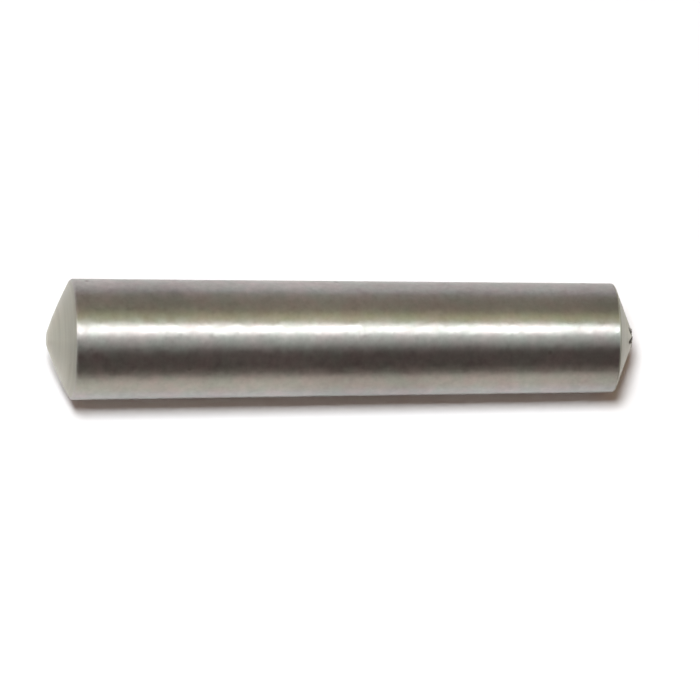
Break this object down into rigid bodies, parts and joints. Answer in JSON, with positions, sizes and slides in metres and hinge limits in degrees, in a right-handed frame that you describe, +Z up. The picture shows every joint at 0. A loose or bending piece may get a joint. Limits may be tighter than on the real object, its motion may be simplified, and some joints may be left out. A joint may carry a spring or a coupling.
{
  "type": "taper pin",
  "caption": "Plain steel taper pin: a solid round bar with a slow taper, a shallow crown on its large end, and a coned small end with a torn parting stub.",
  "frame": {"origin": "centre of the gauge plane, where the large end of the taper meets its crown", "axes": "+X along the pin's axis from the large end to the small end, the way it is driven in; +Z up; the pin is round, so only the two gouges at the foot of its parting stub set its turn about X"},
  "size_m": [0.0508, 0.0104, 0.0104],
  "materials": {
    "bright_steel": "uncoated steel, taper ground round the pin to a fine satin shine, both ends left matt from the turning tool"
  },
  "bodies": {
    "root": {"taper_pin": "bright_steel"}
  },
  "joints": []
}
